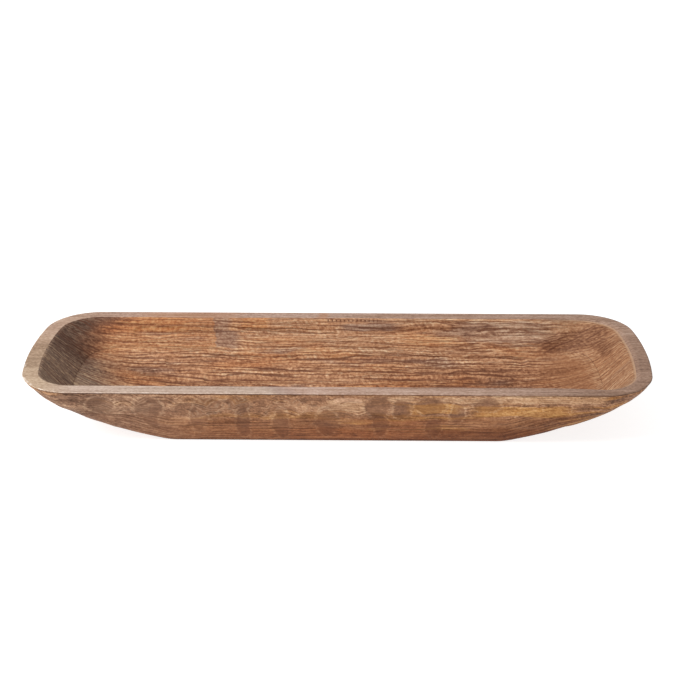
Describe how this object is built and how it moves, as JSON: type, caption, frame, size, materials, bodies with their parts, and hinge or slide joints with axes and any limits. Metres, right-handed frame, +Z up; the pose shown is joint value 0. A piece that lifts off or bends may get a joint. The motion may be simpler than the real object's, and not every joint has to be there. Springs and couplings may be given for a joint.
{
  "type": "dough bowl",
  "caption": "Long, low carved wooden dough bowl with a flat rim, soft corners and upswept ends, glued up from lengthwise boards and hollowed to hold dough, bread or fruit.",
  "frame": {"origin": "centre of the flat underside, on the surface that the bowl stands on", "axes": "+X along the bowl's length, -Y towards the front in the picture, +Z up out of the hollow"},
  "size_m": [0.61, 0.203, 0.0635],
  "materials": {
    "rim_ring_wood": "stained brown, with a pale grey-beige wash sanded on the flat rim and gouge marks on the walls",
    "middle_ring_wood": "stained warm brown, carved with lengthwise gouge furrows inside and shallow scallops outside",
    "floor_wood": "stained red-brown, carved with lengthwise gouge furrows on the floor, smoother outside"
  },
  "bodies": {
    "root": {"floor_board_front": "floor_wood", "floor_board_middle": "floor_wood", "floor_board_back": "floor_wood", "middle_rail_front_left": "middle_ring_wood", "middle_rail_front_right": "middle_ring_wood", "middle_rail_back": "middle_ring_wood", "middle_end_left": "middle_ring_wood", "middle_end_right": "middle_ring_wood", "rim_rail_front_left": "rim_ring_wood", "rim_rail_front_right": "rim_ring_wood", "rim_rail_back_left": "rim_ring_wood", "rim_rail_back_right": "rim_ring_wood", "rim_end_left": "rim_ring_wood", "rim_end_right": "rim_ring_wood"}
  },
  "joints": []
}
